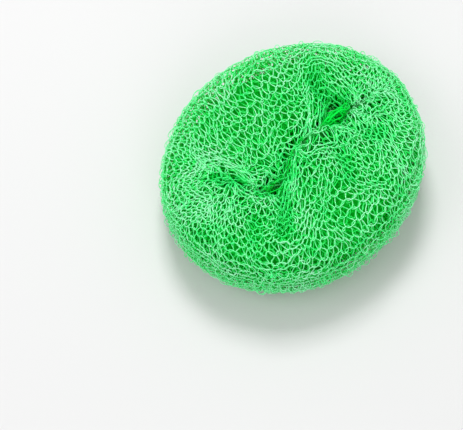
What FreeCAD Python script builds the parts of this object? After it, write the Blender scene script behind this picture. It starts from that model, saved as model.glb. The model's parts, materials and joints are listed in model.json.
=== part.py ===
import FreeCAD, Part
import Sketcher
import math
import os

from FreeCAD import Vector

# A pot scrubber: one length of knitted mesh tube, rolled on itself into an oval pad.
# Each turn of the roll is a hollow ring round a slit, which is what the hole of the roll
# closes to. The turns are split at mid-height, where the pad gives when it is squeezed.
# The origin is under the middle of the pad, on the surface that it lies on.

SIZES = (
    ("pad_length", 106.0, "long way across the pad, along the slit"),
    ("pad_width", 92.0, "short way across the pad"),
    ("pad_height", 34.0, "thickness of the pad at its crown, before it is pressed flat"),
    ("rim_round", 13.0, "radius that turns a face into the rim"),
    ("slit_length", 30.0, "length of the slit between the middles of its two ends"),
    ("slit_offset", 4.5, "how far the middle of the slit lies from the middle of the pad, along the slit"),
    ("slit_width", 3.0, "width of the slit at mid-height"),
    ("lip_round", 6.0, "radius that turns a face down into the slit"),
    ("lip_drop", 1.8, "how far the lips of the slit lie below the crown"),
    ("gather_depth", 1.8, "how far each gather is drawn in below the lips"),
    ("gather_count", 12.0, "gathers round the slit"),
    ("wrap_thickness", 1.8, "thickness of one turn of the knitted tube"),
    ("wrap_clearance", 0.3, "gap from one turn to the next"),
    ("least_round", 0.8, "smallest radius on the inner turns"),
    ("least_wall", 0.4, "smallest upright wall left between a round and mid-height"),
    ("rest_depth", 0.5, "how deep the underside is pressed flat"),
    ("opening_share", 0.74, "width of the skin's openings, as a share of the room from one to the next"),
    ("tail_length", 24.0, "length of the tucked end, along the slit"),
    ("tail_height", 25.0, "height of the tucked end"),
)

# Rows of openings in the skin: those on the face by their share of the way from lip to rim, and
# those on the rim by how far they are turned up from level.
FACE_ROWS = (0.28, 0.56, 0.84)
RIM_ROWS = (math.radians(14), math.radians(42), math.radians(70))

# The turns of the roll, from the outside in, which all go round the core.
WRAPS = ("outer_wrap", "second_wrap", "third_wrap", "fourth_wrap")

doc = FreeCAD.newDocument("pot_scrubber")
sheet = doc.addObject("Spreadsheet::Sheet", "sizes")
for row, (alias, value, note) in enumerate(SIZES, start=1):
    sheet.set(f"A{row}", note)
    sheet.set(f"B{row}", str(value))
    sheet.setAlias(f"B{row}", alias)
doc.recompute()


def size(alias):
    return float(sheet.get(alias))


mid_height = size("pad_height") / 2 - size("rest_depth")
wrap_pitch = size("wrap_thickness") + size("wrap_clearance")
gathers = int(round(size("gather_count")))
# One section on the crest of each gather and one in its trough.
section_angles = [math.pi * k / gathers for k in range(2 * gathers)]


def line(start, end):
    return Part.LineSegment(start, end).toShape()


def arc(start, middle, end):
    return Part.Arc(start, middle, end).toShape()


def lip_depth(angle, gathered):
    """How far the lip lies below the crown: the crests of the gathers stand above the troughs."""
    crest = math.cos(gathers * angle) if gathered else -1
    return size("lip_drop") + size("gather_depth") * (1 - crest) / 2


def upright_plane(angle):
    """A point of the slit, and the level way and distance from it to the rim."""
    slit_x = size("slit_offset") + size("slit_length") / 2 * math.cos(angle)
    slit = Vector(slit_x, 0, mid_height)
    rim_x_way = size("pad_length") / 2 * math.cos(angle)
    rim_y_way = size("pad_width") / 2 * math.sin(angle)
    outward = Vector(rim_x_way, rim_y_way, mid_height) - slit
    width = outward.Length
    outward.normalize()
    return slit, outward, width


def arch(angle, inset, drop, side=1):
    """Points of one arch from the rim over a face into the slit, a distance inside the skin.

    The arch stands in the upright plane through a point of the slit and one of the rim. It is a
    wall, a rim arc, a straight run, a lip arc and a wall. Side is 1 for the upper face, -1 below.
    """
    slit, outward, width = upright_plane(angle)
    rim_at = width - inset
    lip_at = size("slit_width") / 2 + inset
    crown = size("pad_height") / 2 - inset
    rim_room = crown - size("least_wall")
    rim_radius = min(max(size("rim_round") - inset, size("least_round")), rim_room)
    lip_radius = min(max(size("lip_round") - inset, size("least_round")), rim_room - drop)
    rim_x, rim_z = rim_at - rim_radius, crown - rim_radius
    lip_x, lip_z = lip_at + lip_radius, crown - drop - lip_radius
    run, rise = rim_x - lip_x, rim_z - lip_z
    # The straight run touches both arcs, which end where their radii stand square to it.
    square = math.atan2(rise, run) + math.acos((lip_radius - rim_radius) / math.hypot(run, rise))

    def at(x, z):
        return slit + outward * x + Vector(0, 0, side * z)

    def on_rim(turn):
        return at(rim_x + rim_radius * math.cos(turn), rim_z + rim_radius * math.sin(turn))

    def on_lip(turn):
        return at(lip_x + lip_radius * math.cos(turn), lip_z + lip_radius * math.sin(turn))

    return [
        at(rim_at, 0),
        at(rim_at, rim_z),
        on_rim(square / 2),
        on_rim(square),
        on_lip(square),
        on_lip((square + math.pi) / 2),
        at(lip_at, lip_z),
        at(lip_at, 0),
    ]


def arch_edges(points):
    foot, wall, round_one, over, across, round_two, down, end = points
    return [
        line(foot, wall),
        arc(wall, round_one, over),
        line(over, across),
        arc(across, round_two, down),
        line(down, end),
    ]


def wrap_section(angle, turn):
    """One section of the upper half of a turn: an outer arch, an inner one and their feet."""
    inset = turn * wrap_pitch
    outer = arch(angle, inset, lip_depth(angle, gathered=turn == 0))
    inner = arch(angle, inset + size("wrap_thickness"), lip_depth(angle, gathered=False))[::-1]
    feet = [line(outer[-1], inner[0]), line(inner[-1], outer[0])]
    return Part.Wire(arch_edges(outer) + feet[:1] + arch_edges(inner) + feet[1:])


def core_section(angle):
    """One section of the core: an arch above and an arch below."""
    inset = len(WRAPS) * wrap_pitch
    drop = lip_depth(angle, gathered=False)
    above = arch(angle, inset, drop)
    below = arch(angle, inset, drop, side=-1)[::-1]
    return Part.Wire(arch_edges(above) + arch_edges(below))


def ring(label, section):
    """A ring round the slit, lofted through the sections at every gather's crest and trough."""
    feature = doc.addObject("Part::Feature", label)
    feature.Label = label
    wires = [section(angle) for angle in section_angles]
    feature.Shape = Part.makeLoft(wires, True, True, True)
    return feature


def opening(middle, through, along, across, depth):
    """A long six-sided prism that cuts one opening, as deep before its middle as behind it."""
    start = middle - through * depth
    one_side = [start + along, start + along / 2 + across, start - along / 2 + across]
    other_side = [start - along, start - along / 2 - across, start + along / 2 - across]
    outline = Part.makePolygon(one_side + other_side + one_side[:1])
    return Part.Face(outline).extrude(through * (2 * depth))


def skin_openings():
    """The openings of the knit, one column of them between each crest and trough of the gathers."""
    depth = 2 * size("wrap_thickness")
    up = Vector(0, 0, 1)
    half_step = math.pi / gathers / 2
    prisms = []
    for angle in section_angles:
        angle += half_step
        outward = upright_plane(angle)[1]
        sideways = up.cross(outward)
        points = arch(angle, 0, lip_depth(angle, gathered=True))
        sides = [arch(a, 0, lip_depth(a, gathered=True)) for a in (angle - half_step, angle + half_step)]

        def room(index, share):
            """Half the width from one crest or trough to the next, on the run or the rim arc."""
            near, far = (side[index + 1] + (side[index] - side[index + 1]) * share for side in sides)
            return sideways * (abs((far - near).dot(sideways)) / 2 * size("opening_share"))

        over, across = points[3], points[4]
        run = over - across
        reach = run * ((FACE_ROWS[1] - FACE_ROWS[0]) / 2 * size("opening_share"))
        for share in FACE_ROWS:
            prisms.append(opening(across + run * share, up, reach, room(3, share), depth))
        rim_radius = min(size("rim_round"), size("pad_height") / 2 - size("least_wall"))
        centre = points[1] - outward * rim_radius
        rise = rim_radius * (RIM_ROWS[1] - RIM_ROWS[0]) / 2 * size("opening_share")
        for turn in RIM_ROWS:
            through = outward * math.cos(turn) + up * math.sin(turn)
            along = (up * math.cos(turn) - outward * math.sin(turn)) * rise
            prisms.append(opening(centre + through * rim_radius, through, along, room(1, 0.5), depth))
    return prisms


def opened(label, source):
    """The outer turn's upper half with the openings of the knit cut through it."""
    knit = doc.addObject("Part::Feature", "skin_openings")
    knit.Shape = Part.makeCompound(skin_openings())
    cut = doc.addObject("Part::Cut", label)
    cut.Label = label
    cut.Base = source
    cut.Tool = knit
    return cut


def mirrored_below(label, source):
    """The lower half of a turn, which mirrors the upper half at mid-height."""
    mirror = doc.addObject("Part::Mirroring", label)
    mirror.Label = label
    mirror.Source = source
    mirror.Normal = Vector(0, 0, 1)
    mirror.setExpression("Base.z", "sizes.pad_height / 2 - sizes.rest_depth")
    return mirror


def pressed_flat(label, source):
    """The outer turn's lower half, cut flat on the surface that the pad lies on."""
    floor = doc.addObject("Part::Box", "floor_cut")
    floor.setExpression("Length", "sizes.pad_length")
    floor.setExpression("Width", "sizes.pad_width")
    floor.setExpression("Height", "sizes.pad_height / 2")
    floor.setExpression("Placement.Base.x", "-sizes.pad_length / 2")
    floor.setExpression("Placement.Base.y", "-sizes.pad_width / 2")
    floor.setExpression("Placement.Base.z", "-sizes.pad_height / 2")
    cut = doc.addObject("Part::Cut", label)
    cut.Label = label
    cut.Base = source
    cut.Tool = floor
    return cut


def tucked_end(label):
    """The free end of the tube, bunched flat and pushed down into the slit."""
    body = doc.addObject("PartDesign::Body", label)
    body.Label = label
    ground = next(f for f in body.Origin.OriginFeatures if f.Role == "XY_Plane")
    sketch = body.newObject("Sketcher::SketchObject", "tail_outline")
    sketch.AttachmentSupport = [(ground, "")]
    sketch.MapMode = "FlatFace"
    base = "(sizes.pad_height - sizes.tail_height) / 2 - sizes.rest_depth"
    sketch.setExpression("AttachmentOffset.Base.z", base)
    half_length = size("tail_length") / 2
    half_width = size("slit_width") / 2 - size("wrap_clearance")
    offset = size("slit_offset")
    far_end, side = Vector(offset + half_length, 0, 0), Vector(offset, half_width, 0)
    oval = sketch.addGeometry(Part.Ellipse(far_end, side, Vector(offset, 0, 0)))
    sketch.exposeInternalGeometry(oval)
    long_axis, short_axis = oval + 1, oval + 2
    # Point 3 is the middle of the oval, geometry -1 is the X axis, and its point 1 is the origin.
    sketch.addConstraint(Sketcher.Constraint("PointOnObject", oval, 3, -1))
    from_middle = sketch.addConstraint(Sketcher.Constraint("DistanceX", -1, 1, oval, 3, offset))
    sketch.setExpression(f"Constraints[{from_middle}]", "sizes.slit_offset")
    sketch.addConstraint(Sketcher.Constraint("Horizontal", long_axis))
    long_way = sketch.addConstraint(Sketcher.Constraint("Distance", long_axis, 2 * half_length))
    short_way = sketch.addConstraint(Sketcher.Constraint("Distance", short_axis, 2 * half_width))
    sketch.setExpression(f"Constraints[{long_way}]", "sizes.tail_length")
    sketch.setExpression(f"Constraints[{short_way}]", "sizes.slit_width - 2 * sizes.wrap_clearance")
    pad = body.newObject("PartDesign::Pad", "tail_body")
    pad.Profile = sketch
    pad.setExpression("Length", "sizes.tail_height")
    return body


nodes = []
for turn, wrap in enumerate(WRAPS):
    whole = "skin_whole" if turn == 0 else f"{wrap}_top"
    upper = ring(whole, lambda angle, turn=turn: wrap_section(angle, turn))
    if turn == 0:
        upper = opened(f"{wrap}_top", upper)
        lower = pressed_flat(f"{wrap}_bottom", mirrored_below("outer_wrap_mirrored", upper))
    else:
        lower = mirrored_below(f"{wrap}_bottom", upper)
    nodes += [upper, lower]
nodes.append(ring("core_roll", core_section))
nodes.append(tucked_end("tucked_end"))
doc.recompute()

for item in doc.Objects:
    faults = {"Invalid", "Error"} & set(item.State)
    if faults:
        raise RuntimeError(f"{item.Name} is {sorted(faults)}")
for node in nodes:
    if node.Shape.isNull() or not node.Shape.isValid() or len(node.Shape.Solids) != 1:
        raise RuntimeError(f"{node.Label} is not one sound solid")

os.makedirs("parts", exist_ok=True)
for node in nodes:
    node.Shape.exportStep(f"parts/{node.Label}.step")
    box = node.Shape.BoundBox
    across = f"{box.XLength:.1f} x {box.YLength:.1f} mm"
    print(f"{node.Label}: {node.Shape.Volume:.0f} mm3, {across} across")
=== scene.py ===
import json
import math

import bpy
import numpy as np
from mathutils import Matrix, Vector


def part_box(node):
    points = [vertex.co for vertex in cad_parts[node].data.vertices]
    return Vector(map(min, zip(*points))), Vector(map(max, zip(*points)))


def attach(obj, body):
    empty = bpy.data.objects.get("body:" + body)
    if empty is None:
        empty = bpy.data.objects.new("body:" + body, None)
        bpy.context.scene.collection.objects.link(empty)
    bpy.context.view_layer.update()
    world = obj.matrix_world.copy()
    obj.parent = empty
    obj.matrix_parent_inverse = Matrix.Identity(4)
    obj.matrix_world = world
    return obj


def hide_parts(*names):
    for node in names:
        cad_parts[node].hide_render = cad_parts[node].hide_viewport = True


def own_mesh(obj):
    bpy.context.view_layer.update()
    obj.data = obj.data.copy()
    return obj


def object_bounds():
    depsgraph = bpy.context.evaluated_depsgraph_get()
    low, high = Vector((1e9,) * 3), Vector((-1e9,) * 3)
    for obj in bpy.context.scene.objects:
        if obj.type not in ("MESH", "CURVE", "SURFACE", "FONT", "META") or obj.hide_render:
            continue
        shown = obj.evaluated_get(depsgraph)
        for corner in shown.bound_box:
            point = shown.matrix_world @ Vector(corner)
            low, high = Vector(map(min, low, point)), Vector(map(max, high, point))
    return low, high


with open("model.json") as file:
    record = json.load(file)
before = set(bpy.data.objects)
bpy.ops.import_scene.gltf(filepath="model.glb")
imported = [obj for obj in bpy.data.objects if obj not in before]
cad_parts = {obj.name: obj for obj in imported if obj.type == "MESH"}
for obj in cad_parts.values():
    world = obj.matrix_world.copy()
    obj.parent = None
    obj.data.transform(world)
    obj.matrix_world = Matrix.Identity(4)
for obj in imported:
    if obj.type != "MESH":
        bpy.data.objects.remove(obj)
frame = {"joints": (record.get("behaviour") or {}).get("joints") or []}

cad_low, cad_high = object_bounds()

# The pad is worked out in millimetres and put into the scene in metres.
MM = 0.001
TAU = 2 * math.pi
HALF_LENGTH = (cad_high.x - cad_low.x) / 2 / MM
HALF_WIDTH = (cad_high.y - cad_low.y) / 2 / MM
PAD_TOP = cad_high.z / MM
MID_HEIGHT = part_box("outer_wrap_top")[0].z / MM
TURN_PITCH = (cad_high.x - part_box("second_wrap_top")[1].x) / MM

# The form of the roll: the rounds of its rim and lips, and the line that its hole closes to.
ROLL_LINES = 1440
RUN_STEPS = 48
RIM_ROUND = 13.0
LIP_ROUND = 1.8
LIP_ROUND_AT_PITS = 5.0
LIP_ROUND_AT_ENDS = 1.1
LIP_UNEVENNESS = 0.3
LIP_WAVES = 17
LEAST_ROUND = 0.8
LEAST_RUN = 4.0
LIP_DROP = 0.5
SLIT_LINE = (
    (-26.5, 7.5), (-23.0, 2.5), (-19.0, -4.5), (-15.5, -6.8), (-9.0, -5.4), (-3.8, -1.3),
    (5.0, 1.2), (12.3, 0.6), (18.8, 1.2), (23.8, 2.0), (29.0, -0.7), (37.5, -3.8),
)
SLIT_BLUR = 0.12
SLIT_CLOSED = -0.6
# Pits that hold the slit open: how far along it from its middle, half width, and reach along it.
SLIT_PITS = ((0.56, 4.6, 0.11), (0.1, 0.6, 0.05), (-0.2, 1.1, 0.07), (-0.5, 2.7, 0.09))
PIT_BLEND = 1.4
# The slack middle of the slit, past which its lips draw tight, in shares of its half length.
SLACK_MIDDLE = 0.08
SLACK_HALF_LENGTH = 0.5
SLACK_FADE = 0.3
# Where the wales come in: degrees round the rim, and how far along the slit they land.
WALE_LANDINGS = (
    (10, 1.0), (46, 0.56), (72, 0.1), (84, -0.2), (94, -0.5), (110, -0.8), (135, -0.96), (168, -1.0),
    (200, -0.92), (225, -0.5), (241, -0.2), (254, 0.1), (282, 0.56), (322, 0.92), (350, 1.0),
)
LANDING_BLUR = 14
# Gathers near the slit, broad waves of the whole face, and where the face begins up the side.
PLEAT_DEPTH = 1.3
PLEAT_COUNT = 26
PLEAT_LENGTH = 12
PLEAT_REACH = 13.0
WAVE_DEPTH = 0.8
WAVE_COUNT = 9
WAVE_LENGTH = 17
FACE_START = 0.45
FACE_BLEND = 0.5
FLATTENING = 0.45
UPPER_SEED = 11
LOWER_SEED = 12

# Creases of the two faces: points along each, its depth and its half width.
UPPER_CREASES = (
    ([(26.0, 2.5), (20.0, 1.2)], 4.2, 4.0),
    ([(24.0, 5.0), (24.4, 11.4), (25.4, 17.0)], 3.6, 2.7),
    ([(6.0, 1.2), (-3.8, -1.3), (-9.0, -5.0)], 0.9, 3.2),
    ([(-9.0, -5.4), (-15.5, -7.0), (-20.0, -4.5)], 2.8, 3.0),
    ([(-20.0, -4.0), (-24.1, 3.8), (-28.3, 10.2)], 0.5, 3.0),
    ([(-23.4, 3.0), (-25.0, 5.0)], 2.4, 2.0),
    ([(-27.8, 9.6), (-28.8, 11.0)], 2.4, 1.8),
    ([(-15.2, -11.0), (-19.5, -16.9), (-25.4, -21.5)], 3.4, 2.3),
    ([(11.5, -16.0), (9.0, -22.0)], 2.0, 3.0),
    ([(25.0, -14.5), (29.0, -16.5)], 1.8, 3.0),
    ([(-30.5, -12.0), (-34.0, -15.5)], 1.6, 2.6),
)
LOWER_CREASES = (
    ([(11.0, -1.0), (23.0, -7.0)], 4.6, 3.6),
    ([(-9.0, -4.0), (-22.0, 2.0)], 4.2, 3.2),
    ([(4.0, 1.0), (9.0, 21.0)], 2.4, 3.0),
    ([(-7.0, -5.0), (-12.0, -22.0)], 2.6, 2.8),
)

# The knit: stitches round the tube, and the shape of a loop in stitches and courses.
WALES = 86
LEAST_WALE_WIDTH = 1.9
LEAST_WALE_ROOM = 0.1
WALE_FADE = 0.1
ENDED_WALE = 0.02
GOLDEN_SHARE = 0.618034
LOOP_LEAN = 0.25
LOOP_REACH = 0.64
LOOP_RISE = 0.42
FILAMENT_HALF_WIDTH = 0.19
FILAMENT_HALF_THICKNESS = 0.14
SKIN_INSET = 0.8
UNDER_SEAT = 1.2
COURSE_STRETCH = 0.1
TOUSLE = 0.8
TOUSLE_REACH = 9.0
# How far loops stray sideways, along and outwards, from wide fields to single loops.
SIDEWAYS_PULL = 0.5
SIDEWAYS_DRIFT = 0.8
SIDEWAYS_OWN = 0.18
ALONG_SLIP = 0.5
ALONG_SWAY = 0.9
ALONG_OWN = 0.08
OUTWARD_PUFF = 0.35
OUTWARD_OWN = 0.14
SWAY_CELLS = 14
STANDING_LOOPS = (0.4, 1.3)


def ease(x):
    """A smooth step from 0 to 1."""
    x = np.clip(x, 0, 1)
    return x * x * (3 - 2 * x)


def soft_noise(around, along, cells, seed):
    """Smooth noise from -1 to 1 on a band that closes after so many cells around."""
    rows = 64
    values = np.random.default_rng(seed).uniform(-1, 1, (cells, rows))
    i, j = np.floor(around).astype(int), np.floor(along).astype(int)
    f, g = ease(around - i), ease(along - j)
    left, right = i % cells, (i + 1) % cells
    near, far = j % rows, (j + 1) % rows
    start = values[left, near] * (1 - f) + values[right, near] * f
    end = values[left, far] * (1 - f) + values[right, far] * f
    return start * (1 - g) + end * g


def off_line(x, y, points):
    """Distance of points in plan from a line through a few points."""
    nearest = np.full(x.shape, np.inf)
    for (ax, ay), (bx, by) in zip(points, points[1:]):
        dx, dy = bx - ax, by - ay
        share = np.clip(((x - ax) * dx + (y - ay) * dy) / (dx * dx + dy * dy), 0, 1)
        nearest = np.minimum(nearest, np.hypot(x - ax - share * dx, y - ay - share * dy))
    return nearest


def crease_depth(x, y, upper):
    """How far the creases of a face sink it at points in plan."""
    depths = np.zeros_like(x)
    for points, depth, half_width in UPPER_CREASES if upper else LOWER_CREASES:
        depths += depth * np.exp(-((off_line(x, y, points) / half_width) ** 2))
    return depths


def moved_about(values, reach, count):
    """The values moved evenly by up to a reach either way, along a new first axis."""
    return values + np.linspace(-reach, reach, count).reshape((count,) + (1,) * np.ndim(values))


def summed_nearby(values, reach):
    """Sums of each row and its neighbours, up to a reach either way round a closed band."""
    return sum(np.roll(values, k, axis=0) for k in range(-reach, reach + 1))


def slit_share(angle):
    """How far along the slit a line from the rim comes in, from -1 at one end to 1 at the other."""
    rim, landing = np.array(WALE_LANDINGS).T
    near = moved_about(np.degrees(angle), LANDING_BLUR, 15)
    return np.interp(near, rim, landing, period=360).mean(0)


def slit_at(along):
    """Points of the slit's line in plan, from -1 at one end to 1 at the other."""
    points = np.array(SLIT_LINE)
    lengths = np.hypot(*np.diff(points, axis=0).T)
    stations = np.append(0, np.cumsum(lengths)) / lengths.sum() * 2 - 1
    near = moved_about(along, SLIT_BLUR, 9)
    x, y = [np.interp(near, stations, axis).mean(0) for axis in points.T]
    return x, y


def pit(along, spread=1.0):
    """How far the slit's pits hold each lip from its line."""
    return sum(wide * np.exp(-(((along - at) / reach / spread) ** 2)) for at, wide, reach in SLIT_PITS)


def half_roll(inset, upper):
    """Lines of points from the rim at mid-height over one face and down into the slit."""
    angle = np.linspace(0, TAU, ROLL_LINES, endpoint=False)[:, None]
    along_slit = slit_share(angle)
    slit_x, slit_y = slit_at(along_slit)
    out_x = HALF_LENGTH * np.cos(angle) - slit_x
    out_y = HALF_WIDTH * np.sin(angle) - slit_y
    width = np.hypot(out_x, out_y)
    out_x, out_y = out_x / width, out_y / width

    crown = PAD_TOP - MID_HEIGHT - inset
    rim_at = width - inset
    seed = UPPER_SEED if upper else LOWER_SEED
    around = angle / TAU
    to_end = ease((np.abs(along_slit - SLACK_MIDDLE) - SLACK_HALF_LENGTH) / SLACK_FADE)
    lip_at = SLIT_CLOSED + pit(along_slit) + inset
    lip_round = LIP_ROUND + (LIP_ROUND_AT_PITS - LIP_ROUND) * np.clip(pit(along_slit, PIT_BLEND), 0, 1)
    uneven = soft_noise(around * LIP_WAVES, 0 * around, LIP_WAVES, seed + 40)
    lip_round = lip_round * (1 + LIP_UNEVENNESS * uneven)
    lip_round = lip_round + (LIP_ROUND_AT_ENDS - lip_round) * to_end
    lip_radius = np.maximum(lip_round - inset, LEAST_ROUND)
    rim_radius = np.minimum(RIM_ROUND - inset, rim_at - lip_at - lip_radius - LEAST_RUN)
    rim_radius = np.maximum(rim_radius, LEAST_ROUND)
    rim_x, rim_z = rim_at - rim_radius, crown - rim_radius
    lip_x, lip_z = lip_at + lip_radius, crown - LIP_DROP - lip_radius
    run, rise = rim_x - lip_x, rim_z - lip_z
    lean = np.clip((lip_radius - rim_radius) / np.hypot(run, rise), -1, 1)
    square = np.arctan2(rise, run) + np.arccos(lean)

    step = np.linspace(0, 1, RUN_STEPS, endpoint=False)[None, :]
    rim_turn, lip_turn = square * step, square + (math.pi - square) * step
    top_x, top_z = rim_x + rim_radius * np.cos(square), rim_z + rim_radius * np.sin(square)
    in_x, in_z = lip_x + lip_radius * np.cos(square), lip_z + lip_radius * np.sin(square)
    level = np.zeros_like(rim_at)
    out = [
        rim_at + level * step,
        rim_x + rim_radius * np.cos(rim_turn),
        top_x + (in_x - top_x) * step,
        lip_x + lip_radius * np.cos(lip_turn),
        lip_at + level * np.append(step, 1)[None, :],
    ]
    up = [
        rim_z * step + level,
        rim_z + rim_radius * np.sin(rim_turn),
        top_z + (in_z - top_z) * step,
        lip_z + lip_radius * np.sin(lip_turn),
        lip_z * (1 - np.append(step, 1)[None, :]) + level,
    ]
    out, up = np.hstack(out), np.hstack(up)
    x, y = slit_x + out_x * out, slit_y + out_y * out

    on_face = ease((up / crown - FACE_START) / FACE_BLEND)
    near_slit = np.exp(-(((out - lip_at) / PLEAT_REACH) ** 2))
    pleats = soft_noise(around * PLEAT_COUNT + 0 * out, out / PLEAT_LENGTH, PLEAT_COUNT, seed)
    waves = soft_noise(around * WAVE_COUNT + 0 * out, out / WAVE_LENGTH, WAVE_COUNT, seed + 20)
    gathers = PLEAT_DEPTH * near_slit * pleats + WAVE_DEPTH * waves
    up = up - on_face * (crease_depth(x, y, upper) + gathers)
    up = crown - FLATTENING * np.logaddexp(0, (crown - up) / FLATTENING)
    return np.stack([x, y, MID_HEIGHT + up if upper else np.maximum(MID_HEIGHT - up, inset)], axis=-1)


def evened(lines, count):
    """The same lines with their points spaced evenly along them."""
    lengths = np.linalg.norm(np.diff(lines, axis=1), axis=2)
    along = np.concatenate([np.zeros((len(lines), 1)), np.cumsum(lengths, axis=1)], axis=1)
    share = np.linspace(0, 1, count)
    even = np.empty((len(lines), count, 3))
    for line, reach, made in zip(lines, along, even):
        for axis in range(3):
            made[:, axis] = np.interp(share * reach[-1], reach, line[:, axis])
    return even


class Turn:
    """One turn of the roll: a surface from the slit over the upper face, the rim and the lower face."""

    def __init__(self, points, outward_at):
        self.points = points
        around = np.roll(points, -1, axis=0) - np.roll(points, 1, axis=0)
        along = np.gradient(points, axis=1)
        normals = np.cross(around, along)
        normals /= np.maximum(np.linalg.norm(normals, axis=2, keepdims=True), 1e-9)
        place = points[0, outward_at]
        if normals[0, outward_at] @ (place - [0, 0, place[2]]) < 0:
            normals = -normals
        self.normals = normals

    def at(self, around, along):
        """Points and normals at shares of the way round, and from -1 to 1 along the lines."""
        rows, columns = self.points.shape[:2]
        i = np.mod(around, 1) * rows
        j = np.clip((along + 1) / 2, 0, 1) * (columns - 1)
        low = np.minimum(j.astype(int), columns - 2)
        first = i.astype(int) % rows
        f, g = (i - np.floor(i))[..., None], (j - low)[..., None]
        second = (first + 1) % rows
        found = []
        for grid in (self.points, self.normals):
            near = grid[first, low] * (1 - f) + grid[second, low] * f
            far = grid[first, low + 1] * (1 - f) + grid[second, low + 1] * f
            found.append(near * (1 - g) + far * g)
        place, normal = found
        return place, normal / np.linalg.norm(normal, axis=-1, keepdims=True)


def rolled_turn(inset, count=400):
    """A turn of the roll at a depth under the skin, with so many points along each half line."""
    upper, lower = half_roll(inset, True), half_roll(inset, False)
    upper, lower = evened(upper, count), evened(lower, count)
    return Turn(np.concatenate([upper[:, :0:-1], lower], axis=1), count - 1)


def stretched(course, courses):
    """How far along a turn a course lies: courses stand further apart towards the slit."""
    share = np.abs(course) / courses
    return np.sign(course) * share * (1 + COURSE_STRETCH * (share - 1))


class Wales:
    """Where the wales run on a turn: those that would crowd near the slit end in its gathers."""

    def __init__(self, turn, wales):
        inward = np.gradient(turn.points, axis=1)
        inward /= np.maximum(np.linalg.norm(inward, axis=2, keepdims=True), 1e-9)
        steps = np.linalg.norm(np.cross(np.roll(turn.points, -1, axis=0) - turn.points, inward), axis=2)
        room = steps[((np.arange(wales) + 0.5) * len(steps) / wales).astype(int)] * len(steps) / wales
        rank = np.arange(wales) * GOLDEN_SHARE % 1
        share = np.clip(room / LEAST_WALE_WIDTH, LEAST_WALE_ROOM, 1)
        width = ease((share * (1 + WALE_FADE) - rank[:, None]) / WALE_FADE)
        self.wales, self.kept = wales, width > 0.5
        width = np.maximum(width, ENDED_WALE)
        width = width / summed_nearby(width, 4)
        starts = (np.cumsum(width, axis=0) - width) / width.sum(0)
        drift = starts - np.arange(wales)[:, None] / wales
        evened_over = 6
        starts = starts - summed_nearby(drift, evened_over) / (2 * evened_over + 1)
        self.edges = np.concatenate([starts, starts[:1] + 1])

    def column(self, along):
        return np.clip((along + 1) / 2, 0, 1) * (self.edges.shape[1] - 1)

    def middles(self, along):
        """The middles of the wales that reach a course, and of one more at either end."""
        kept = np.nonzero(self.kept[:, int(self.column(along))])[0] + 0.5
        return np.concatenate([[kept[-1] - self.wales], kept, [kept[0] + self.wales, kept[1] + self.wales]])

    def around(self, wale, along):
        """The share of the way round at a place between wales."""
        whole = np.floor(wale / self.wales)
        wale = wale - whole * self.wales
        j = self.column(along)
        first = np.minimum(wale.astype(int), self.wales - 1)
        low = np.minimum(j.astype(int), self.edges.shape[1] - 2)
        f, g = wale - first, j - low
        near = self.edges[first, low] * (1 - f) + self.edges[first + 1, low] * f
        far = self.edges[first, low + 1] * (1 - f) + self.edges[first + 1, low + 1] * f
        return whole + near * (1 - g) + far * g


def knitted(turn, wanted, courses, steps, seed, wales=WALES, rise=LOOP_RISE, loose=1.0, proud=0.0):
    """The filament's middle line in each course of loops, and the turn's normals along it."""
    runs = Wales(turn, wales)
    draw = np.random.default_rng(seed)
    fine, broad = wales // 2, wales // 4
    strands = []
    for course in wanted:
        middles = runs.middles(stretched(course, courses))
        stitches = len(middles) - 3
        stitch = np.arange(stitches * steps) / steps
        phase = TAU * stitch
        leant = stitch + LOOP_LEAN * np.sin(2 * phase)
        wale = np.interp(leant, np.arange(-1, stitches + 2), middles)
        reach = course + LOOP_REACH * np.cos(phase)
        pull = soft_noise(wale * fine / wales, reach / 2, fine, seed)
        slip = soft_noise(wale * fine / wales, reach / 2, fine, seed + 1)
        puff = soft_noise(wale * broad / wales, reach / 4, broad, seed + 2)
        drift = soft_noise(wale * broad / wales, reach / 3, broad, seed + 4)
        own = soft_noise(wale * 2, reach * 2, wales * 2, seed + 3)
        sway = soft_noise(wale * SWAY_CELLS / wales, reach / 5, SWAY_CELLS, seed + 5)
        along = stretched(reach, courses)
        calm = turn.at(runs.around(wale, along), along)[0]
        off_slit = off_line(calm[:, 0], calm[:, 1], SLIT_LINE)
        tousled = loose * (1 + TOUSLE * np.exp(-((off_slit / TOUSLE_REACH) ** 2)))
        wale = wale + tousled * (SIDEWAYS_PULL * pull + SIDEWAYS_DRIFT * drift + SIDEWAYS_OWN * own)
        reach = reach + tousled * (ALONG_SLIP * slip + ALONG_SWAY * sway + ALONG_OWN * own)
        along = stretched(reach, courses)
        place, normal = turn.at(runs.around(wale, along), along)
        heads = np.maximum(np.cos(phase), 0) ** 2
        standing = draw.uniform(0, 1, stitches + 1) < proud
        standing = standing * draw.uniform(*STANDING_LOOPS, stitches + 1)
        lift = rise * np.cos(2 * phase) + loose * (OUTWARD_PUFF * puff + OUTWARD_OWN * own)
        lift = lift + standing[np.round(stitch).astype(int) % stitches] * heads
        line = place + normal * lift[:, None]
        line[:, 2] = np.maximum(line[:, 2], FILAMENT_HALF_THICKNESS)
        strands.append((line, normal))
    return strands


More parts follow.
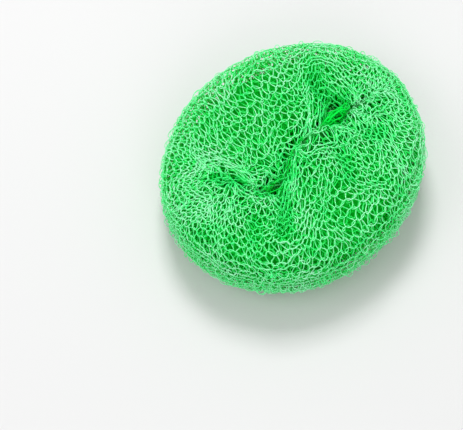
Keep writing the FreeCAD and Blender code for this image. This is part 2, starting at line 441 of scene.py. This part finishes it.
def filament_mesh(name, strands, sides):
    """A mesh of closed flat filaments along the strands, with its surfaces laid out in rows."""
    vertices, quads, layout, first = [], [], [], 0
    strip = 0.96
    turn = TAU * np.arange(sides) / sides
    for row, (line, normals) in enumerate(strands):
        tangent = np.roll(line, -1, axis=0) - np.roll(line, 1, axis=0)
        tangent /= np.maximum(np.linalg.norm(tangent, axis=1, keepdims=True), 1e-9)
        thin = normals - tangent * (normals * tangent).sum(1, keepdims=True)
        thin /= np.maximum(np.linalg.norm(thin, axis=1, keepdims=True), 1e-6)
        wide = np.cross(tangent, thin)
        ring = FILAMENT_HALF_WIDTH * np.cos(turn)[:, None] * wide[:, None, :]
        ring = ring + FILAMENT_HALF_THICKNESS * np.sin(turn)[:, None] * thin[:, None, :]
        vertices.append((line[:, None, :] + ring).reshape(-1, 3))
        steps = len(line)
        index = first + np.arange(steps * sides).reshape(steps, sides)
        ahead, beside = np.roll(index, -1, axis=0), np.roll(index, -1, axis=1)
        quads.append(np.stack([index, beside, np.roll(ahead, -1, axis=1), ahead], axis=-1).reshape(-1, 4))
        first += steps * sides
        k, s = np.meshgrid(np.arange(steps), np.arange(sides), indexing="ij")
        u, u_next = k / steps, (k + 1) / steps
        v = (row + strip * s / sides) / len(strands)
        v_next = (row + strip * (s + 1) / sides) / len(strands)
        corners = [(u, v), (u, v_next), (u_next, v_next), (u_next, v)]
        layout.append(np.stack([np.stack(c, axis=-1) for c in corners], axis=2).reshape(-1, 2))
    piece = mesh_piece(name, np.concatenate(vertices), np.concatenate(quads), np.concatenate(layout))
    # The crease depth at each point, kept as sunk: the finish paints shade in the creases with it and dulls
    # the gloss there.
    lines = np.concatenate([line for line, normals in strands])
    faces_up = np.concatenate([normals[:, 2] for line, normals in strands])
    sunk = crease_depth(lines[:, 0], lines[:, 1], True) * (faces_up > 0)
    sunk = sunk + crease_depth(lines[:, 0], lines[:, 1], False) * (faces_up < 0)
    depth = piece.data.attributes.new("sunk", "FLOAT", "POINT")
    depth.data.foreach_set("value", np.repeat(sunk, sides).astype(np.float32))
    return piece


def mesh_piece(name, vertices, quads, layout):
    """An object of quads, from points in millimetres and the layout of its corners."""
    mesh = bpy.data.meshes.new(name)
    mesh.vertices.add(len(vertices))
    mesh.vertices.foreach_set("co", (vertices * MM).astype(np.float32).ravel())
    mesh.loops.add(quads.size)
    mesh.loops.foreach_set("vertex_index", quads.astype(np.int32).ravel())
    mesh.polygons.add(len(quads))
    mesh.polygons.foreach_set("loop_start", np.arange(0, quads.size, 4, dtype=np.int32))
    mesh.update(calc_edges=True)
    mesh.shade_smooth()
    uv = mesh.uv_layers.new(name="OFBake")
    uv.data.foreach_set("uv", layout.astype(np.float32).ravel())
    piece = bpy.data.objects.new(name, mesh)
    bpy.context.collection.objects.link(piece)
    return piece


class Socket:
    """A shader value with arithmetic: each operation adds its node to the material."""

    def __init__(self, tree, socket):
        self.tree, self.socket = tree, socket

    def node(self, kind, settings=None, output=0, **inputs):
        node = self.tree.nodes.new(kind)
        for name, value in (settings or {}).items():
            setattr(node, name, value)
        for name, value in inputs.items():
            place = node.inputs[int(name[1:]) if name[1:].isdigit() else name.replace("_", " ")]
            if isinstance(value, Socket):
                self.tree.links.new(value.socket, place)
            else:
                place.default_value = value
        return Socket(self.tree, node.outputs[output])

    def maths(self, operation, first, second):
        return self.node("ShaderNodeMath", {"operation": operation}, _0=first, _1=second)

    def __add__(self, other):
        return self.maths("ADD", self, other)

    def __radd__(self, other):
        return self.maths("ADD", other, self)

    def __sub__(self, other):
        return self.maths("SUBTRACT", self, other)

    def __rsub__(self, other):
        return self.maths("SUBTRACT", other, self)

    def __mul__(self, other):
        return self.maths("MULTIPLY", self, other)

    def __rmul__(self, other):
        return self.maths("MULTIPLY", other, self)


# The filament's finish: how far its green varies, at random and as painted glints, and how far painted
# shade deepens it per millimetre of crease.
POLYETHYLENE_IOR = 1.51
COLOUR_CONTRAST = 3.0
COLOUR_SHIFT = 1.2
CREASE_PAINTED_SHADE = 0.22
CREASE_DULLNESS = 0.08
STREAK_GLOSS = 0.22


def mesh_plastic(name, pale, deep, roughness, shine):
    """Green filament: paler and deeper by patches and fine streaks, the streaks' pale parts partly painted
    glints; painted shade deepens it in creases, where it is also duller.
    """
    material = bpy.data.materials.new(name)
    material.use_nodes = True
    tree = material.node_tree
    shader = tree.nodes["Principled BSDF"]
    place = Socket(tree, None).node("ShaderNodeTexCoord", output=3)
    patches = place.node("ShaderNodeTexNoise", Vector=place, Scale=90.0, Detail=3.0, Roughness=0.6)
    # Fine streaks along the filament roughen and bump it; their pale parts in the colour are painted
    # glints.
    streaks_and_painted_glints = place.node("ShaderNodeTexNoise", Vector=place, Scale=900.0, Detail=2.0, Roughness=0.5)
    sunk = place.node("ShaderNodeAttribute", {"attribute_name": "sunk"}, output=2)
    # Painted shade: the deeper the crease, the further the colour goes to the deep green.
    share = (patches * 0.5 + streaks_and_painted_glints * 0.5) * COLOUR_CONTRAST - COLOUR_SHIFT - sunk * CREASE_PAINTED_SHADE
    colour = place.node("ShaderNodeMix", {"data_type": "RGBA"}, output=2, Factor=share, _6=deep, _7=pale)
    tree.links.new(colour.socket, shader.inputs["Base Color"])
    gloss = streaks_and_painted_glints * STREAK_GLOSS + sunk * CREASE_DULLNESS + (roughness - STREAK_GLOSS / 2)
    tree.links.new(gloss.socket, shader.inputs["Roughness"])
    bump = place.node("ShaderNodeBump", Height=streaks_and_painted_glints, Strength=0.12, Distance=0.0002)
    tree.links.new(bump.socket, shader.inputs["Normal"])
    shader.inputs["IOR"].default_value = POLYETHYLENE_IOR
    shader.inputs["Specular IOR Level"].default_value = shine
    return material


# The skin's whitish pale green is partly a painted highlight, standing for glints on its lit strands.
skin_plastic = mesh_plastic("skin_filament", (0.5, 1.0, 0.72, 1), (0.03, 0.96, 0.22, 1), 0.2, 0.6)
# The turns under the skin and the core are the same filament as the skin: their deeper, more saturated
# greens with hardly any red are painted shade and bounced green light, darkest in the core, and their low
# shine stands for reflections shaded by the turns above.
under_painted_shade_plastic = mesh_plastic("under_filament_painted_shade", (0.1, 0.96, 0.27, 1), (0.006, 0.86, 0.1, 1), 0.3, 0.15)
inner_painted_shade_plastic = mesh_plastic("inner_filament_painted_shade", (0.006, 0.8, 0.08, 1), (0.001, 0.66, 0.03, 1), 0.4, 0.04)
# The tucked end is the same filament as well: its saturated green with hardly any red is painted shade and
# bounced green light inside the slit, and its low shine stands for shaded reflections.
tail_painted_shade_plastic = mesh_plastic("tail_filament_painted_shade", (0.03, 0.97, 0.16, 1), (0.004, 0.88, 0.08, 1), 0.4, 0.05)
core_painted_shade_plastic = mesh_plastic("core_filament_painted_shade", (0.004, 0.72, 0.05, 1), (0.001, 0.55, 0.02, 1), 0.5, 0.03)

# The squeeze joint takes the upper half down on the lower one, keeping this share of the height.
squeeze = next(j for j in frame["joints"] if j["name"] == "squeeze")
KEPT_HEIGHT = 1 + squeeze["range_m"][0] / (PAD_TOP * MM)


def fit(piece, material, slot, upper, *nodes, fill=0.6):
    """Gives a piece its finish and its place: it rides on its half."""
    piece.data.materials.append(material)
    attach(piece, "upper_half" if upper else "lower_half")
    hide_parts(*nodes)
    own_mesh(piece)
    return piece


def knit_half(name, turn, upper, courses, wanted, steps, sides, seed, **shape):
    """The wanted courses of a turn's upper or lower half, as one piece."""
    side = -1 if upper else 1
    strands = knitted(turn, [side * c for c in wanted], courses, steps, seed, **shape)
    return filament_mesh(name, strands, sides)


# The outer turn: a rim with many loops standing up, a shoulder and a face.
SKIN_COURSES = 18
SKIN_STEPS = 24
SKIN_SIDES = 6
SKIN_SEED = 30
RIM_COURSES = 5
SHOULDER_COURSES = 10
skin = rolled_turn(SKIN_INSET)
for upper in (True, False):
    half = "top" if upper else "bottom"
    node = f"outer_wrap_{half}"
    numbers = [c + 0.5 for c in range(SKIN_COURSES)]
    parts = {
        "rim": (numbers[:RIM_COURSES], 0.5),
        "shoulder": (numbers[RIM_COURSES:SHOULDER_COURSES], 0.12),
        "face": (numbers[SHOULDER_COURSES:], 0.08),
    }
    for part, (wanted, proud) in parts.items():
        name = f"{node}_{part}"
        knit = (SKIN_COURSES, wanted, SKIN_STEPS, SKIN_SIDES, SKIN_SEED)
        piece = knit_half(name, skin, upper, *knit, proud=proud)
        fit(piece, skin_plastic, "skin_mesh", upper, node)

# The inner turns: place in the roll, courses, steps of a loop, sides of the filament, seed, finish, whose
# deeper green is painted shade.
INNER_TURNS = (
    ("second_wrap", 1, 14, 14, 5, 41, under_painted_shade_plastic),
    ("third_wrap", 2, 11, 14, 4, 52, inner_painted_shade_plastic),
    ("fourth_wrap", 3, 10, 12, 4, 63, inner_painted_shade_plastic),
)
for name, number, courses, steps, sides, seed, plastic in INNER_TURNS:
    turn = rolled_turn(SKIN_INSET + number * TURN_PITCH - UNDER_SEAT)
    for upper in (True, False):
        half = "top" if upper else "bottom"
        wanted = [c + 0.5 for c in range(courses)]
        piece = knit_half(f"{name}_{half}_loops", turn, upper, courses, wanted, steps, sides, seed)
        fit(piece, plastic, "inner_mesh", upper, f"{name}_{half}")


def core_ring():
    """The core: a tight roll whose surface is ridged by the loops packed into it."""
    turn = rolled_turn(SKIN_INSET + 4 * TURN_PITCH)
    rows, columns = 552, 120
    ridge, ridge_sway, sways = 0.5, 3, 40
    around = np.arange(rows)[:, None] / rows
    along = np.linspace(-1, 1, columns, endpoint=False)[None, :]
    around, along = around + 0 * along, along + 0 * around
    ridges = np.abs(np.sin(around * TAU * WALES / 2 + ridge_sway * np.sin(along * sways)))
    place, normal = turn.at(around, along)
    vertices = place + normal * (ridge * ridges)[..., None]
    index = np.arange(rows * columns).reshape(rows, columns)
    ahead, beside = np.roll(index, -1, axis=0), np.roll(index, -1, axis=1)
    quads = np.stack([index, ahead, np.roll(ahead, -1, axis=1), beside], axis=-1).reshape(-1, 4)
    r, c = np.meshgrid(np.arange(rows), np.arange(columns), indexing="ij")
    corners = [(r, c), (r + 1, c), (r + 1, c + 1), (r, c + 1)]
    layout = [np.stack([a / rows, b / columns], axis=-1) for a, b in corners]
    layout = np.stack(layout, axis=2).reshape(-1, 2)
    return mesh_piece("core_roll_bulk", vertices.reshape(-1, 3), quads, layout)


fit(core_ring(), core_painted_shade_plastic, "core_mesh", False, "core_roll", fill=0.9)


# The tucked end: the height of its top, the part of the slit that it fills, and its own knit.
TAIL_TOP = 30.5
TAIL_ALONG = (-0.62, 0.72)
TAIL_NARROWING = 0.3
TAIL_HALF_WIDTH = 1.0
TAIL_AT_PITS = 1.2
TAIL_PINCH = 5
LEAST_PINCH = 0.02
TAIL_KNIT = {"courses": 7, "steps": 16, "seed": 71, "wales": 44, "rise": 0.5, "loose": 1.2}


def tucked_tail():
    """The free end of the tube, bunched up in the slit below its lips and pinched shut at both ends."""
    tail_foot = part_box("tucked_end")[0].z / MM
    rows, columns = 480, 120
    around = np.arange(rows)[:, None] / rows * TAU
    down = np.linspace(0, 1, columns)[None, :]
    tail_middle, tail_half = sum(TAIL_ALONG) / 2, (TAIL_ALONG[1] - TAIL_ALONG[0]) / 2
    x, y = slit_at(tail_middle + tail_half * np.cos(around) * (1 - TAIL_NARROWING * down))
    ruffle = 0.8 * np.sin(5 * around + 4 * down) + 0.5 * np.sin(9 * around - 3 * down)
    spread = TAIL_HALF_WIDTH + TAIL_AT_PITS * pit(tail_middle + tail_half * np.cos(around))
    top_pinch = np.clip(down * TAIL_PINCH, LEAST_PINCH, 1)
    foot_pinch = np.clip((1 - down) * TAIL_PINCH, LEAST_PINCH, 1)
    spread = spread * np.sqrt(top_pinch * foot_pinch)
    y = y + np.sin(around) * spread + 0.6 * ruffle
    z = TAIL_TOP + 0.8 * ruffle - down * (TAIL_TOP - tail_foot)
    tail = Turn(np.stack(np.broadcast_arrays(x, y, z), axis=-1), columns // 2)
    wanted = [c - 6.4 for c in range(13)]
    strands = knitted(tail, wanted, **TAIL_KNIT)
    return filament_mesh("tucked_end_loops", strands, 5)


fit(tucked_tail(), tail_painted_shade_plastic, "skin_mesh", False, "tucked_end", fill=0.3)

# The floor and the light.
FLOOR_REACH = 3.0
PAPER_GREY = 0.735
WORLD_LEVEL = 0.56
floor_mesh = bpy.data.meshes.new("studio_floor")
floor_corners = [(FLOOR_REACH * x, FLOOR_REACH * y, 0) for x, y in ((-1, -1), (1, -1), (1, 1), (-1, 1))]
floor_mesh.from_pydata(floor_corners, [], [(0, 1, 2, 3)])
floor = bpy.data.objects.new("studio_floor", floor_mesh)
bpy.context.collection.objects.link(floor)
paper = bpy.data.materials.new("pale_paper")
paper.use_nodes = True
paper_shader = paper.node_tree.nodes["Principled BSDF"]
paper_shader.inputs["Base Color"].default_value = (PAPER_GREY, PAPER_GREY, PAPER_GREY, 1)
paper_shader.inputs["Roughness"].default_value = 0.8
floor.data.materials.append(paper)


def softbox(name, place, size, power):
    """A square lamp that faces the pad, with its place and size in metres."""
    light = bpy.data.lights.new(name, "AREA")
    light.shape = "RECTANGLE"
    light.size, light.size_y = size
    light.energy = power
    lamp = bpy.data.objects.new(name, light)
    lamp.location = place
    lamp.rotation_euler = (-Vector(place)).to_track_quat("-Z", "Y").to_euler()
    bpy.context.collection.objects.link(lamp)


softbox("key_softbox", (0.3, 0.45, 0.95), (0.35, 0.35), 7.0)
softbox("fill_softbox", (-0.6, 0.3, 0.8), (0.5, 0.5), 1.4)
softbox("front_softbox", (-0.45, -0.6, 0.5), (0.6, 0.6), 1.8)
world = bpy.data.worlds.new("studio_world")
bpy.context.scene.world = world
world.use_nodes = True
sky = world.node_tree.nodes["Background"]
sky.inputs["Color"].default_value = (1, 1, 1, 1)
sky.inputs["Strength"].default_value = WORLD_LEVEL

# The camera stands where the photograph was taken from.
AZIMUTH, ELEVATION = math.radians(313), math.radians(66)
DISTANCE = 0.62
IMAGE_WIDTH, IMAGE_HEIGHT = 463, 430
PAD_AT = (288.5, 161.0)
PIXELS_PER_MM = 2.63
SENSOR_WIDTH = 36
middle = Vector((0, 0, MID_HEIGHT * MM))
back = Vector((
    math.sin(AZIMUTH) * math.cos(ELEVATION),
    -math.cos(AZIMUTH) * math.cos(ELEVATION),
    math.sin(ELEVATION),
))
camera_data = bpy.data.cameras.new("camera")
camera = bpy.data.objects.new("camera", camera_data)
bpy.context.collection.objects.link(camera)
camera_data.sensor_width = SENSOR_WIDTH
camera_data.lens = SENSOR_WIDTH * DISTANCE / (IMAGE_WIDTH / PIXELS_PER_MM * MM)
camera.location = middle + back * DISTANCE
turn_to_pad = (-back).to_track_quat("-Z", "Y")
right, up = turn_to_pad @ Vector((1, 0, 0)), turn_to_pad @ Vector((0, 1, 0))
off_right = (PAD_AT[0] - IMAGE_WIDTH / 2) / PIXELS_PER_MM * MM
off_up = (IMAGE_HEIGHT / 2 - PAD_AT[1]) / PIXELS_PER_MM * MM
aim = middle - right * off_right - up * off_up
camera.rotation_mode = "QUATERNION"
camera.rotation_quaternion = (aim - camera.location).to_track_quat("-Z", "Y")
bpy.context.scene.camera = camera
bpy.context.scene.view_settings.view_transform = "Standard"
